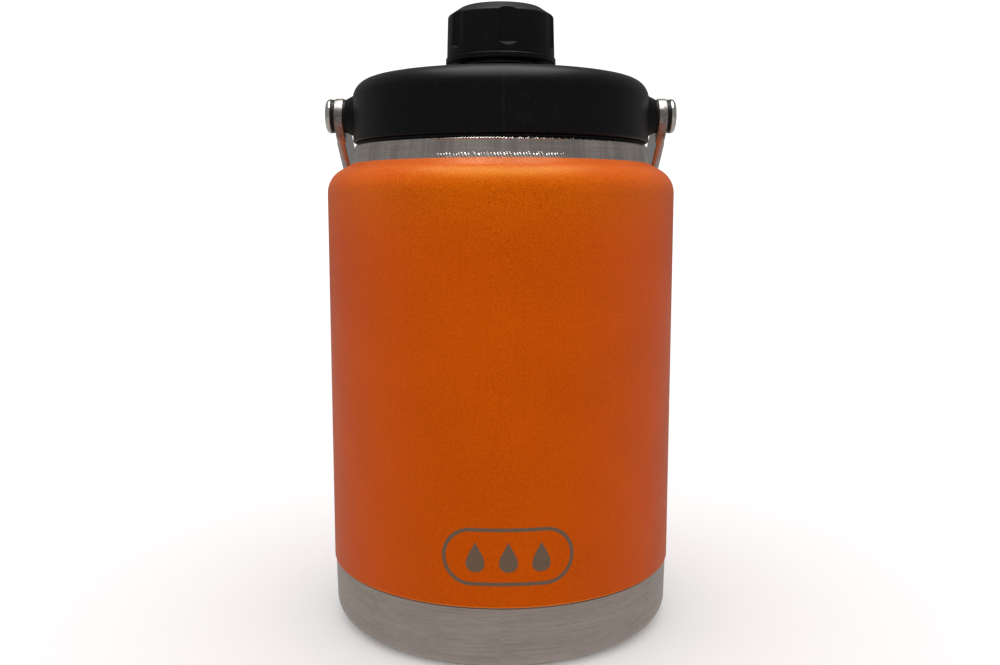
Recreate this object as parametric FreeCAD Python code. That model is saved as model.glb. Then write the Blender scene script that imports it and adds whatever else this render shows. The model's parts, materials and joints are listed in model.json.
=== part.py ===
"""Insulated drinks jug: steel vessel, screw lid with a bail handle, and a small screw cap on a spout.

Millimetres. +Z is up, the origin is the centre of the face that the jug stands on, and -Y is the front.
Every sub-part is written to parts/NODE.step. The lid, its handle and the cap are drawn closed.
"""
import math
import os

import FreeCAD
import Part

Vector = FreeCAD.Vector
X_AXIS = Vector(1, 0, 0)
Z_AXIS = Vector(0, 0, 1)
CENTRE = Vector(0, 0, 0)

# ---- fits ----
SLIP = 0.05                     # between pieces that slide or lie on each other
RUNNING = 0.06                  # radial clearance of the handle's eyes on their pins
THREAD_PLAY = 0.5               # radial, from a thread's crest to the wall it faces
SEAL_PLAY = 0.3                 # radial, between the cap's gasket and the bore round it
ROOT_BITE = 0.3                 # how deep a thread's root is sunk into its wall

# ---- edges, cutters and searches ----
FINE = 0.3                      # rounding of pressed and turned edges
SOFT = 0.5                      # rounding of small moulded edges
FULL = 1.0                      # rounding of larger moulded edges
PAST = 1.0                      # how far a cutter reaches past the face that it opens
SUNK = 0.1                      # overlap of two volumes that are joined end to end
DROOP_STEP = 0.1                # degrees
DEPTH_STEP = 0.5
HEX_SIDES = 6

# ---- vessel ----
body_radius = 67.5              # painted outer wall
outer_sheet = 0.8               # outer wall, base cup and neck collar
liner_sheet = 0.7
vacuum_gap = 4.2
seam_height = 23.7              # top of the bare steel band
seam_gap = 0.4                  # open groove under the painted wall's edge
band_step = 0.5                 # the bare band is this much smaller in radius than the painted wall
band_taper = 0.5
band_corner = 7.3               # radius of the corner that the jug stands on
spigot_length = 5.0             # the base cup reaches this far up inside the wall
foot_inner_radius = 56.0
shoulder_top = 177.9            # where the painted wall ends at the neck
shoulder_slope = math.radians(29)
shoulder_round = 10.0
neck_radius = 58.1
neck_height = 7.1               # from the painted wall's end to the lip
neck_taper = 1.25               # the collar is this much smaller in radius at the lip
neck_step = 0.15                # the coat stands proud of the collar
neck_bore = 53.0
liner_floor = 9.0
liner_corner = 12.0
liner_shoulder_round = 8.0
liner_neck_round = 2.0
plug_room = 1.0                 # from the plug's underside up to where the liner's neck tube starts
plate_rise = 1.8                # the base plate is set up inside the foot by this much
plate_flange = 1.5
plate_slope = 2.5
plate_lean = 0.2                # keeps the sheet's thickness on the slope
seal_radius = 4.0
seal_height = 0.6
seal_pin_radius = 1.5
seal_edge = 0.2
getter_radius = 9.0
getter_height = 2.5
getter_offset = 26.0

# ---- lid ----
gasket_height = 1.0
gasket_lap = 1.2                # past the seam between the lid's shell and its plug
gasket_inset = 0.5              # from the neck's bore
lid_radius = 57.4
lid_height = 23.5               # from its lower edge to the top of the side
lid_edge_round = 7.3
lid_foot_round = 0.8
lid_crown = 1.0                 # how much the top rises towards the collar
lid_wall = 2.7
lid_deck = 3.0
spout_collar_wall = 3.45
spout_collar_height = 4.7       # above the crown
plug_depth = 15.0               # below the lid's lower edge
plug_wall = 2.3
plug_floor = 2.4
plug_flange = 2.5
foam_play = 1.0                 # radial, between the foam and the spout
lid_lead = 10.0
lid_starts = 2
lid_thread_turns = 0.75         # on the plug
neck_thread_turns = 0.6         # in the neck
lid_thread_depth = 1.3
lid_thread_root = 2.0
lid_thread_crest = 1.2
lid_thread_rise = 3.0           # from the plug's underside to the thread's start

# ---- spout ----
spout_bore = 11.8
spout_wall = 2.2
spout_stand = 14.8              # above its collar
spout_flange = 5.5
spout_flange_height = 2.0
spout_seal_height = 1.5
spout_seal_inset = 1.0          # from the flange's rim
cap_lead = 8.0
cap_starts = 2
cap_thread_turns = 0.8          # on the spout
bore_thread_turns = 0.56        # in the cap
cap_thread_depth = 1.1
cap_thread_root = 1.6
cap_thread_crest = 0.9
cap_thread_rise = 3.2           # from the cap's lower edge to the thread's start

# ---- cap ----
cap_bottom_gap = 1.1            # above the spout's collar
cap_height = 21.2
cap_draft = 0.45                # the grip is this much smaller in radius at its top
cap_bevel_height = 3.3
cap_bevel_width = 5.0
cap_top_round = 2.0
cap_ring_step = 0.45            # the ring stands out by this much
cap_ring_height = 2.4
cap_shell_wall = 2.8
cap_liner_wall = 2.45
cap_liner_top = 1.4
cap_seal_height = 0.9
cap_seal_width = 4.4
flute_count = 6
flute_radius = 8.0
flute_depth = 1.4
flute_floor_height = 6.0        # from the cap's lower edge to a flute's foot
flute_turn = 7.3                # degrees that the front flute stands to the right of the front
magnet_radius = 8.0
magnet_height = 2.5

# ---- docking place for the cap, on the lid behind the spout ----
dock_offset = 37.5
dock_radius = 10.5
dock_depth = 1.2
dock_proud = 0.8
dock_dish_radius = 40.0

# ---- handle and pivots ----
pivot_rise = 10.9               # above the lid's lower edge
boss_length = 3.0               # from the lid's side to the boss's end
boss_end_radius = 6.4
boss_flare = 0.52               # growth in radius per millimetre towards the lid
inner_boss_radius = 6.5
inner_boss_length = 8.7         # inwards from the wall's inner face
washer_radius = 6.4
inner_washer = 0.55
outer_washer = 1.3
eye_radius = 6.8
eye_thickness = 3.6
strap_thickness = 3.25
strap_set = 0.6                 # the strap's inner face is this much further out than the eye's
strap_half_width = 7.4
flare_length = 5.0              # from the pivot to where the strap has its full width
step_start = 7.0                # from the pivot to the step between eye and strap
grip_gap = 7.5                  # finger room between the vessel and the grip's inner face
grip_corner = 24.0
shoulder_play = 0.35            # between the strap and the shoulder that it lies on
steepest_droop = 60.0           # degrees below level, if the shoulder left room for it
step_length = 1.4
step_round = 1.5
flare_round = 3.0
strap_edge_round = 0.5
pin_shoulder_radius = 3.5
pin_screw_radius = 2.5
pin_head_radius = 6.6
pin_head_height = 2.1
pin_head_round = 1.7
pin_seat_depth = 3.3            # how far inside the boss's end the pin's shoulder stops
pin_screw_length = 10.0
socket_across_flats = 4.0
socket_depth = 1.5
insert_wall = 1.7
insert_length = 11.0

# ---- sizes that follow ----
lip_height = shoulder_top + neck_height
lid_bottom = lip_height + gasket_height
lid_inner_radius = lid_radius - lid_wall
lid_side_top = lid_bottom + lid_height
deck_underside = lid_side_top - lid_deck
crown_height = lid_side_top + lid_crown
collar_top = crown_height + spout_collar_height
plug_bottom = lid_bottom - plug_depth
plug_crest_radius = neck_bore - THREAD_PLAY
plug_radius = plug_crest_radius - lid_thread_depth
lid_thread_low = plug_bottom + lid_thread_rise
spout_radius = spout_bore + spout_wall
spout_top = collar_top + spout_stand
spout_flange_radius = spout_radius + spout_flange
spout_collar_radius = spout_radius + SLIP + spout_collar_wall
cap_bottom = collar_top + cap_bottom_gap
cap_bore = spout_radius + cap_thread_depth + THREAD_PLAY
cap_liner_radius = cap_bore + cap_liner_wall
cap_inner_radius = cap_liner_radius + SLIP
cap_radius = cap_inner_radius + cap_shell_wall
cap_ring_radius = cap_radius + cap_ring_step
cap_top = cap_bottom + cap_height
cap_seam = cap_bottom + cap_ring_height
cap_thread_low = cap_bottom + cap_thread_rise
cap_seal_top = spout_top + SLIP + cap_seal_height
cap_liner_roof = cap_seal_top + SLIP
cap_pocket_floor = cap_liner_roof + cap_liner_top + SLIP
pivot_height = lid_bottom + pivot_rise
boss_root = lid_inner_radius + 0.1
boss_end = lid_radius + boss_length
inner_boss_end = lid_inner_radius - inner_boss_length
eye_inner_face = boss_end + inner_washer + 2 * SLIP
eye_outer_face = eye_inner_face + eye_thickness
strap_inner_face = eye_inner_face + strap_set
strap_outer_face = strap_inner_face + strap_thickness
wall_corner_height = shoulder_top - (body_radius - neck_radius) * math.tan(shoulder_slope)


def corner_arc(before, corner, after, radius):
    """Start, middle and end of the arc that rounds a corner with the given radius."""
    to_before = (before - corner).normalize()
    to_after = (after - corner).normalize()
    half = to_before.getAngle(to_after) / 2
    tangent = radius / math.tan(half)
    inward = (to_before + to_after).normalize()
    middle = corner + inward * (radius / math.sin(half) - radius)
    return corner + to_before * tangent, middle, corner + to_after * tangent


def outline_face(corners, place):
    """Closed flat face. Each corner is (u, v) or (u, v, rounding), and place turns (u, v) into a point."""
    points = [place(c[0], c[1]) for c in corners]
    rounds = [c[2] if len(c) > 2 else 0 for c in corners]
    starts, ends, arcs = [], [], []
    for i, point in enumerate(points):
        if rounds[i] > 0:
            start, middle, end = corner_arc(points[i - 1], point, points[(i + 1) % len(points)], rounds[i])
            arcs.append(Part.Arc(start, middle, end).toShape())
        else:
            start, end = point, point
            arcs.append(None)
        starts.append(start)
        ends.append(end)
    edges = []
    for i in range(len(points)):
        if arcs[i]:
            edges.append(arcs[i])
        following = starts[(i + 1) % len(points)]
        if ends[i].distanceToPoint(following) > 1e-6:
            edges.append(Part.LineSegment(ends[i], following).toShape())
    return Part.Face(Part.Wire(edges))


def turned(corners):
    """Solid of revolution about Z, from corners given as (radius, height, rounding)."""
    face = outline_face(corners, lambda r, z: Vector(r, 0, z))
    return face.revolve(CENTRE, Z_AXIS, 360)


def ring(inner, outer, low, high, rounding=0):
    """Flat ring about Z, with its outer edges rounded."""
    return turned([(inner, low), (outer, low, rounding), (outer, high, rounding), (inner, high)])


def disc(radius, low, high, rounding=0):
    """Round plate about Z, with its edges rounded."""
    return turned([(0, low), (radius, low, rounding), (radius, high, rounding), (0, high)])


def along_x(radius, start, end, height=pivot_height, end_radius=None):
    """Cylinder or cone about the pivot's axis, from one X to another."""
    at = Vector(start, 0, height)
    if end_radius is None:
        return Part.makeCylinder(radius, end - start, at, X_AXIS)
    return Part.makeCone(radius, end_radius, end - start, at, X_AXIS)


def thread(root, crest, low, lead, turns, starts, root_width, crest_width, phase=0.0):
    """Helical ridges on a round wall, whose crest is outside the root on a plug and inside it in a bore."""
    outward = math.copysign(1, crest - root)
    sunk = root - outward * ROOT_BITE
    lower = [Vector(sunk, 0, -root_width / 2), Vector(crest, 0, -crest_width / 2)]
    upper = [Vector(crest, 0, crest_width / 2), Vector(sunk, 0, root_width / 2)]
    corners = lower + upper
    section = Part.makePolygon(corners + corners[:1])
    path = Part.Wire(Part.makeHelix(lead, lead * turns, root))
    ridge = path.makePipeShell([section], True, True)
    ridges = []
    for i in range(starts):
        copy = ridge.copy()
        copy.rotate(CENTRE, Z_AXIS, phase + 360.0 * i / starts)
        copy.translate(Vector(0, 0, low))
        ridges.append(copy)
    return ridges


def mirrored(shape):
    """The same shape on the other side of the jug."""
    return shape.mirror(CENTRE, X_AXIS)


# ---- vessel ----

def outer_wall():
    """Painted side and shoulder, open at both ends."""
    inner = body_radius - outer_sheet
    cone_shift = outer_sheet / math.cos(shoulder_slope)
    inner_corner = wall_corner_height - cone_shift + outer_sheet * math.tan(shoulder_slope)
    inner_top = neck_radius - cone_shift / math.tan(shoulder_slope)
    return turned([
        (body_radius, seam_height, FINE),
        (body_radius, wall_corner_height, shoulder_round),
        (neck_radius, shoulder_top),
        (inner_top, shoulder_top),
        (inner, inner_corner, shoulder_round - outer_sheet),
        (inner, seam_height),
    ])


def base_cup():
    """Bare steel band with the rounded corner and the foot, and a spigot that goes up inside the wall."""
    band_top_radius = body_radius - band_step
    band_low_radius = band_top_radius - band_taper
    spigot = body_radius - outer_sheet - SLIP
    inner = spigot - outer_sheet
    ledge = seam_height - seam_gap
    return turned([
        (foot_inner_radius, 0),
        (band_low_radius, 0, band_corner),
        (band_top_radius, ledge, FINE),
        (spigot, ledge),
        (spigot, seam_height + spigot_length, FINE),
        (inner, seam_height + spigot_length),
        (inner, outer_sheet, band_corner - outer_sheet),
        (foot_inner_radius, outer_sheet),
    ])


def base_plate():
    """Dished plate that closes the base inside the foot, with the hole that the vacuum was drawn through."""
    edge = foot_inner_radius - SLIP
    low = outer_sheet / 2
    return turned([
        (seal_pin_radius, plate_rise),
        (edge - plate_flange - plate_slope, plate_rise, FULL),
        (edge - plate_flange, low, SOFT),
        (edge, low),
        (edge, low + outer_sheet),
        (edge - plate_flange + plate_lean, low + outer_sheet),
        (edge - plate_flange - plate_slope + plate_lean, plate_rise + outer_sheet),
        (seal_pin_radius, plate_rise + outer_sheet),
    ])


def seal_plug():
    """Plug of the evacuation hole."""
    head = disc(seal_radius, plate_rise - seal_height, plate_rise, seal_edge)
    stem = disc(seal_pin_radius, plate_rise - SUNK, plate_rise + outer_sheet)
    return head.fuse(stem).removeSplitter()


def getter():
    """Pill in the vacuum space, on the base plate."""
    low = plate_rise + outer_sheet
    pill = disc(getter_radius, low, low + getter_height, SOFT)
    pill.translate(Vector(getter_offset, 0, 0))
    return pill


def inner_liner():
    """Inner vessel with its neck tube and the neck's thread."""
    outside = body_radius - outer_sheet - vacuum_gap
    inside = outside - liner_sheet
    tube = neck_bore + liner_sheet
    cone_top = plug_bottom + plug_room
    cone_low = cone_top - (outside - tube) * math.tan(shoulder_slope) - vacuum_gap
    sheet_drop = liner_sheet * (1 / math.cos(shoulder_slope) - math.tan(shoulder_slope))
    top = lip_height - outer_sheet
    shell = turned([
        (0, liner_floor),
        (outside, liner_floor, liner_corner),
        (outside, cone_low, liner_shoulder_round),
        (tube, cone_top, liner_neck_round),
        (tube, top),
        (neck_bore, top),
        (neck_bore, cone_top - sheet_drop, liner_neck_round + liner_sheet),
        (inside, cone_low - sheet_drop, liner_shoulder_round - liner_sheet),
        (inside, liner_floor + liner_sheet, liner_corner - liner_sheet),
        (0, liner_floor + liner_sheet),
    ])
    crest = plug_radius + THREAD_PLAY
    half_pitch = lid_lead / lid_starts / 2
    low = lid_thread_low + half_pitch
    ridges = thread(neck_bore, crest, low, lid_lead, neck_thread_turns, lid_starts,
                    lid_thread_root, lid_thread_crest)
    return shell.fuse(ridges).removeSplitter()


def neck_collar():
    """Bare steel collar that closes the vacuum space at the neck and makes the lip."""
    low_radius = neck_radius - neck_step
    lip_radius = low_radius - neck_taper
    return turned([
        (low_radius, shoulder_top),
        (lip_radius, lip_height, FULL),
        (neck_bore, lip_height, FINE),
        (neck_bore, lip_height - outer_sheet),
        (lip_radius - outer_sheet, lip_height - outer_sheet),
        (low_radius - outer_sheet, shoulder_top),
    ])


# ---- lid ----

def lid_gasket():
    """Flat silicone ring between the lip and the lid."""
    outer = lid_inner_radius + gasket_lap
    return ring(neck_bore + gasket_inset, outer, lip_height + SLIP, lid_bottom - SLIP, FINE)


def pivot_boss():
    """Flared boss on the lid's side, with its root inside, solid."""
    flare = boss_end_radius + boss_flare * (boss_end - boss_root)
    outside = along_x(flare, boss_root, boss_end, end_radius=boss_end_radius)
    inside = along_x(inner_boss_radius, inner_boss_end, boss_end - PAST)
    return outside.fuse(inside)


def pivot_bore():
    """Hole through a boss: for the brass insert from within, and for the pin's shoulder at the end."""
    seat = boss_end - pin_seat_depth
    insert = along_x(pin_screw_radius + insert_wall, inner_boss_end - PAST, seat)
    shoulder = along_x(pin_shoulder_radius + SLIP, seat - SUNK, boss_end + PAST)
    return insert.fuse(shoulder)


def lid_shell():
    """Outer moulding of the lid, with the spout's collar, the two pivot bosses and the dock's recess."""
    hole = spout_radius + SLIP
    cover = turned([
        (lid_radius, lid_bottom, lid_foot_round),
        (lid_radius, lid_side_top, lid_edge_round),
        (spout_collar_radius, crown_height, FULL),
        (spout_collar_radius, collar_top, SOFT),
        (hole, collar_top, FINE),
        (hole, deck_underside),
        (lid_inner_radius, deck_underside, lid_edge_round - lid_wall),
        (lid_inner_radius, lid_bottom),
    ])
    boss = pivot_boss()
    bore = pivot_bore()
    recess = disc(dock_radius + SLIP, dock_surface() - dock_depth, crown_height + PAST)
    recess.translate(Vector(0, dock_offset, 0))
    cover = cover.fuse([boss, mirrored(boss)]).removeSplitter()
    return cover.cut([bore, mirrored(bore), recess])


def dock_surface():
    """Height of the lid's top where the dock is."""
    share = (lid_radius - dock_offset) / (lid_radius - spout_collar_radius)
    return lid_side_top + lid_crown * share


def lid_plug():
    """Lower moulding of the lid: the threaded plug and the flange that closes the shell."""
    inner = plug_radius - plug_wall
    hole = spout_radius + SLIP
    flange = lid_inner_radius - SLIP
    body = turned([
        (hole, plug_bottom),
        (plug_radius, plug_bottom, FULL),
        (plug_radius, lid_bottom),
        (flange, lid_bottom),
        (flange, lid_bottom + plug_flange),
        (inner, lid_bottom + plug_flange),
        (inner, plug_bottom + plug_floor, FULL),
        (hole, plug_bottom + plug_floor),
    ])
    ridges = thread(plug_radius, plug_crest_radius, lid_thread_low, lid_lead, lid_thread_turns, lid_starts,
                    lid_thread_root, lid_thread_crest)
    return body.fuse(ridges).removeSplitter()


def lid_foam():
    """Foam ring that insulates the plug."""
    low = plug_bottom + plug_floor + SLIP
    outer = plug_radius - plug_wall - SLIP
    return ring(spout_radius + foam_play, outer, low, lid_bottom + plug_flange, FULL)


def spout():
    """Drinking spout: a tube from the plug's underside to its lip, with a flange under the deck."""
    flange_top = deck_underside - spout_seal_height
    tube = turned([
        (spout_bore, plug_bottom, FINE),
        (spout_radius, plug_bottom),
        (spout_radius, flange_top - spout_flange_height),
        (spout_flange_radius, flange_top - spout_flange_height, FINE),
        (spout_flange_radius, flange_top, FINE),
        (spout_radius, flange_top),
        (spout_radius, spout_top, FULL),
        (spout_bore, spout_top, FULL),
    ])
    crest = spout_radius + cap_thread_depth
    ridges = thread(spout_radius, crest, cap_thread_low, cap_lead, cap_thread_turns, cap_starts,
                    cap_thread_root, cap_thread_crest)
    return tube.fuse(ridges).removeSplitter()


def spout_seal():
    """Ring that seals the spout's flange against the deck."""
    low = deck_underside - spout_seal_height
    return ring(spout_radius + SLIP, spout_flange_radius - spout_seal_inset, low, deck_underside, FINE)


def dock_pad():
    """Dished disc that the cap clings to while someone drinks."""
    surface = dock_surface()
    top = surface + dock_proud
    pad = disc(dock_radius, surface - dock_depth, top, SOFT)
    dish = Part.makeSphere(dock_dish_radius, Vector(0, 0, top + dock_dish_radius - dock_proud))
    pad = pad.cut(dish)
    pad.translate(Vector(0, dock_offset, 0))
    return pad


def dock_magnet():
    """Magnet glued under the deck below the dock."""
    magnet = disc(magnet_radius, deck_underside - magnet_height, deck_underside, FINE)
    magnet.translate(Vector(0, dock_offset, 0))
    return magnet


# ---- pivots ----

def pivot_insert():
    """Brass insert that the pivot pin screws into."""
    seat = boss_end - pin_seat_depth
    outside = along_x(pin_screw_radius + insert_wall, seat - insert_length, seat)
    hole = along_x(pin_screw_radius, seat - insert_length - PAST, seat + PAST)
    return outside.cut(hole)


def inner_washer_ring():
    """Black washer between the boss and the handle's eye."""
    low = boss_end + SLIP
    outside = along_x(washer_radius, low, low + inner_washer)
    return outside.cut(along_x(pin_shoulder_radius, low - PAST, low + inner_washer + PAST))


def outer_washer_ring():
    """Black washer between the handle's eye and the pin's head."""
    low = eye_outer_face + SLIP
    outside = along_x(washer_radius, low, low + outer_washer)
    return outside.cut(along_x(pin_shoulder_radius, low - PAST, low + outer_washer + PAST))


def pivot_pin():
    """Shoulder screw: domed head with a hexagon socket, shoulder through the eye, screw in the insert."""
    head_low = eye_outer_face + SLIP + outer_washer
    head_top = head_low + pin_head_height
    seat = boss_end - pin_seat_depth
    corners = [
        (0, seat - pin_screw_length),
        (pin_screw_radius, seat - pin_screw_length, FINE),
        (pin_screw_radius, seat),
        (pin_shoulder_radius, seat),
        (pin_shoulder_radius, head_low),
        (pin_head_radius, head_low, FINE),
        (pin_head_radius, head_top, pin_head_round),
        (0, head_top),
    ]
    pin = turned(corners)
    pin.rotate(CENTRE, Vector(0, 1, 0), 90)
    pin.translate(Vector(0, 0, pivot_height))
    circumradius = socket_across_flats / math.sqrt(3)
    start = head_top - socket_depth
    hexagon = []
    for i in range(HEX_SIDES):
        angle = 2 * math.pi * i / HEX_SIDES
        across, up = circumradius * math.cos(angle), circumradius * math.sin(angle)
        hexagon.append(Vector(start, across, pivot_height + up))
    socket = Part.Face(Part.makePolygon(hexagon + hexagon[:1])).extrude(Vector(socket_depth + PAST, 0, 0))
    return pin.cut(socket)


# ---- handle ----

def shoulder_height(radius):
    """Height of the painted wall's outside at a radius: a cone, then the round down to the side."""
    round_centre = body_radius - shoulder_round
    rise = shoulder_round * (math.tan(shoulder_slope) - 1 / math.cos(shoulder_slope))
    if radius < round_centre + shoulder_round * math.sin(shoulder_slope):
        return wall_corner_height + (body_radius - radius) * math.tan(shoulder_slope)
    return wall_corner_height + rise + math.sqrt(shoulder_round ** 2 - (radius - round_centre) ** 2)


def strap_clears(droop):
    """Whether the strap's lower edge stays off the shoulder when the handle hangs this many degrees down."""
    fall = math.radians(droop)
    depth = 0.0
    while math.hypot(strap_inner_face, depth) <= body_radius:
        edge = pivot_height - depth * math.tan(fall) - strap_half_width / math.cos(fall)
        if edge < shoulder_height(math.hypot(strap_inner_face, depth)) + shoulder_play:
            return False
        depth += DEPTH_STEP
    return True


def resting_droop():
    """Angle below level, in degrees, at which the handle lies just off the shoulder."""
    droop = steepest_droop
    while not strap_clears(droop) and droop > 0:
        droop -= DROOP_STEP
    return droop


def handle():
    """Bail of flat bar with an eye at each end, drawn upright on its pivot, then laid back on the vessel."""
    droop = resting_droop()
    grip_reach = (body_radius + grip_gap) / math.cos(math.radians(droop))
    reach = eye_outer_face + PAST
    eyes = along_x(eye_radius, -reach, reach, height=0)
    bail = bail_band(grip_reach).common(bail_outline(grip_reach, reach).fuse(eyes).removeSplitter())
    bail = rounded_edges(bail)
    bail = bail.cut(along_x(pin_shoulder_radius + RUNNING, -reach, reach, height=0))
    bail.rotate(CENTRE, X_AXIS, -90 - droop)
    bail.translate(Vector(0, 0, pivot_height))
    return bail


def bail_band(grip_reach):
    """The bail seen from the front: thick eyes, a step to the thinner strap, and the grip across the top."""
    step_end = step_start + step_length
    foot = -eye_radius - PAST
    outside = [
        (eye_outer_face, foot),
        (eye_outer_face, step_start, step_round),
        (strap_outer_face, step_end, step_round),
        (strap_outer_face, grip_reach + strap_thickness, grip_corner + strap_thickness),
    ]
    inside = [
        (strap_inner_face, grip_reach, grip_corner),
        (strap_inner_face, step_end, step_round),
        (eye_inner_face, step_start, step_round),
        (eye_inner_face, foot),
    ]
    loop = outside + opposite(outside) + opposite(inside) + inside
    depth = 2 * (strap_half_width + PAST)
    return outline_face(loop, lambda x, z: Vector(x, -depth / 2, z)).extrude(Vector(0, depth, 0))


def bail_outline(grip_reach, reach):
    """The bail seen from the side: the strap narrows towards each eye on lines that meet it as tangents."""
    diagonal = math.hypot(strap_half_width, flare_length)
    tangent = math.acos(eye_radius / diagonal) - math.atan2(flare_length, strap_half_width)
    edge = [
        (eye_radius * math.cos(tangent), -eye_radius * math.sin(tangent)),
        (strap_half_width, flare_length, flare_round),
        (strap_half_width, grip_reach + strap_thickness + PAST),
    ]
    face = outline_face(edge + opposite(edge), lambda y, z: Vector(-reach, y, z))
    return face.extrude(Vector(2 * reach, 0, 0))


def opposite(corners):
    """The same corners in the other half of an outline, in the order that goes on round it."""
    return [(-c[0],) + c[1:] for c in reversed(corners)]


def rounded_edges(bail):
    """Rounds the four long edges of the strap and the grip, which lie in the bail's two flat sides."""
    step_end = step_start + step_length
    long_edges = [e for e in bail.Edges if e.BoundBox.ZMin > step_end and e.BoundBox.YLength < SUNK]
    return bail.makeFillet(strap_edge_round, long_edges)


# ---- cap ----

def cap_liner():
    """Threaded inner moulding of the cap, whose flange shows as the ring at the cap's foot."""
    body = turned([
        (cap_bore, cap_bottom, FINE),
        (cap_ring_radius, cap_bottom, SOFT),
        (cap_ring_radius, cap_seam, SOFT),
        (cap_liner_radius, cap_seam),
        (cap_liner_radius, cap_pocket_floor - SLIP, SOFT),
        (0, cap_pocket_floor - SLIP),
        (0, cap_liner_roof),
        (cap_bore, cap_liner_roof),
    ])
    crest = spout_radius + THREAD_PLAY
    half_pitch = cap_lead / cap_starts / 2
    low = cap_thread_low + half_pitch
    ridges = thread(cap_bore, crest, low, cap_lead, bore_thread_turns, cap_starts,
                    cap_thread_root, cap_thread_crest)
    return body.fuse(ridges).removeSplitter()


def cap_gasket():
    """Silicone ring under the cap's roof, over the spout's lip."""
    outer = cap_bore - SEAL_PLAY
    return ring(outer - cap_seal_width, outer, spout_top + SLIP, cap_seal_top, FINE)


def cap_magnet():
    """Magnet between the cap's liner and its shell."""
    return disc(magnet_radius, cap_pocket_floor, cap_pocket_floor + magnet_height, FINE)


def flute_cutter():
    """Round cutter with a cone at its lower end, set in the cap's side towards +X."""
    foot = cap_bottom + flute_floor_height
    centre = cap_radius - flute_depth + flute_radius
    shank = Part.makeCylinder(flute_radius, cap_height, Vector(centre, 0, foot), Z_AXIS)
    tip = Part.makeCone(0, flute_radius, flute_radius, Vector(centre, 0, foot - flute_radius), Z_AXIS)
    return shank.fuse(tip)


def cap_shell():
    """Grip of the cap, with its bevelled top and its flutes."""
    roof = cap_pocket_floor + magnet_height + SLIP
    body = turned([
        (cap_radius, cap_seam + SLIP, FINE),
        (cap_radius - cap_draft, cap_top - cap_bevel_height, FULL),
        (cap_radius - cap_draft - cap_bevel_width, cap_top, cap_top_round),
        (0, cap_top),
        (0, roof),
        (magnet_radius + SLIP, roof),
        (magnet_radius + SLIP, cap_pocket_floor),
        (cap_inner_radius, cap_pocket_floor, SOFT),
        (cap_inner_radius, cap_seam + SLIP),
    ])
    cutter = flute_cutter()
    cutters = []
    for i in range(flute_count):
        copy = cutter.copy()
        copy.rotate(CENTRE, Z_AXIS, -90 + flute_turn + 360.0 * i / flute_count)
        cutters.append(copy)
    return body.cut(cutters)


def sub_parts():
    """Every node's name and shape."""
    shapes = {
        "outer_wall": outer_wall(),
        "base_cup": base_cup(),
        "base_plate": base_plate(),
        "seal_plug": seal_plug(),
        "getter": getter(),
        "inner_liner": inner_liner(),
        "neck_collar": neck_collar(),
        "lid_gasket": lid_gasket(),
        "lid_shell": lid_shell(),
        "lid_plug": lid_plug(),
        "lid_foam": lid_foam(),
        "spout": spout(),
        "spout_seal": spout_seal(),
        "dock_pad": dock_pad(),
        "dock_magnet": dock_magnet(),
        "handle": handle(),
        "cap_liner": cap_liner(),
        "cap_gasket": cap_gasket(),
        "cap_magnet": cap_magnet(),
        "cap_shell": cap_shell(),
    }
    pivots = {
        "pivot_insert": pivot_insert(),
        "inner_washer": inner_washer_ring(),
        "outer_washer": outer_washer_ring(),
        "pivot_pin": pivot_pin(),
    }
    for name, shape in pivots.items():
        shapes[name + "_right"] = shape
        shapes[name + "_left"] = mirrored(shape)
    return shapes


def main():
    os.makedirs("parts", exist_ok=True)
    for name, shape in sub_parts().items():
        solids = shape.Solids
        print(f"{name:22} solids {len(solids)} valid {shape.isValid()} volume {shape.Volume:10.1f}")
        solid = solids[0] if len(solids) == 1 else shape
        solid.exportStep(f"parts/{name}.step")


main()
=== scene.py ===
"""Looks of the insulated drinks jug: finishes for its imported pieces, an etched emblem, and the studio."""

import json
import logging
import math
from dataclasses import dataclass
from enum import Enum
from typing import Iterable, Sequence, Union

import bmesh
import bpy
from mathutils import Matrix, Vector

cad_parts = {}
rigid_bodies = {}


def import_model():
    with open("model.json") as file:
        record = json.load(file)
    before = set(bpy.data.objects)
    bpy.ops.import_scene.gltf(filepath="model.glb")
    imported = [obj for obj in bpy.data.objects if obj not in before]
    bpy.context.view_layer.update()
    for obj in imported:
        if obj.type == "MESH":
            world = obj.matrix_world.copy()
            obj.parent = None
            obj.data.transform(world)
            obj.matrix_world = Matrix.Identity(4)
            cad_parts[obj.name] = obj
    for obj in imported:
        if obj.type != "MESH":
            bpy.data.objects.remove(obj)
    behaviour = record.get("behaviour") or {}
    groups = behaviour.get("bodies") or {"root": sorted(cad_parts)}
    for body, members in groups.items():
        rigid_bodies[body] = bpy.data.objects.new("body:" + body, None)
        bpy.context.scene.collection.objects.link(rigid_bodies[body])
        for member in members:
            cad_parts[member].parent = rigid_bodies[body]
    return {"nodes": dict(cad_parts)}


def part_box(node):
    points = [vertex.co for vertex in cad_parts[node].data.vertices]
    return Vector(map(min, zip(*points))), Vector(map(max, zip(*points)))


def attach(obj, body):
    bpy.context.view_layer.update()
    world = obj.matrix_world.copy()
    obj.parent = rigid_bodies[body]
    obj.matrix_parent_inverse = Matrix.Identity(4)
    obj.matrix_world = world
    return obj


for leftover in list(bpy.data.objects):
    bpy.data.objects.remove(leftover)
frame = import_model()

LOG = logging.getLogger("drinks_jug")
MM = 0.001
SHARP_ANGLE = math.radians(32)
MIDDLE = 0.5                    # smooth noise lies about this value

# Heights and places in millimetres.
SEAM_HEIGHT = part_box("outer_wall")[0][2] / MM
COLLAR_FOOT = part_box("neck_collar")[0][2] / MM
LIP_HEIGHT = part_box("neck_collar")[1][2] / MM
PIVOT_HEIGHT = sum(corner[2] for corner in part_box("pivot_pin_left")) / 2 / MM
PARTING_X = 1.0                 # the lid's parting line
DROOP = math.radians(33.4)      # the handle's arms hang this far below level at rest

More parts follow.
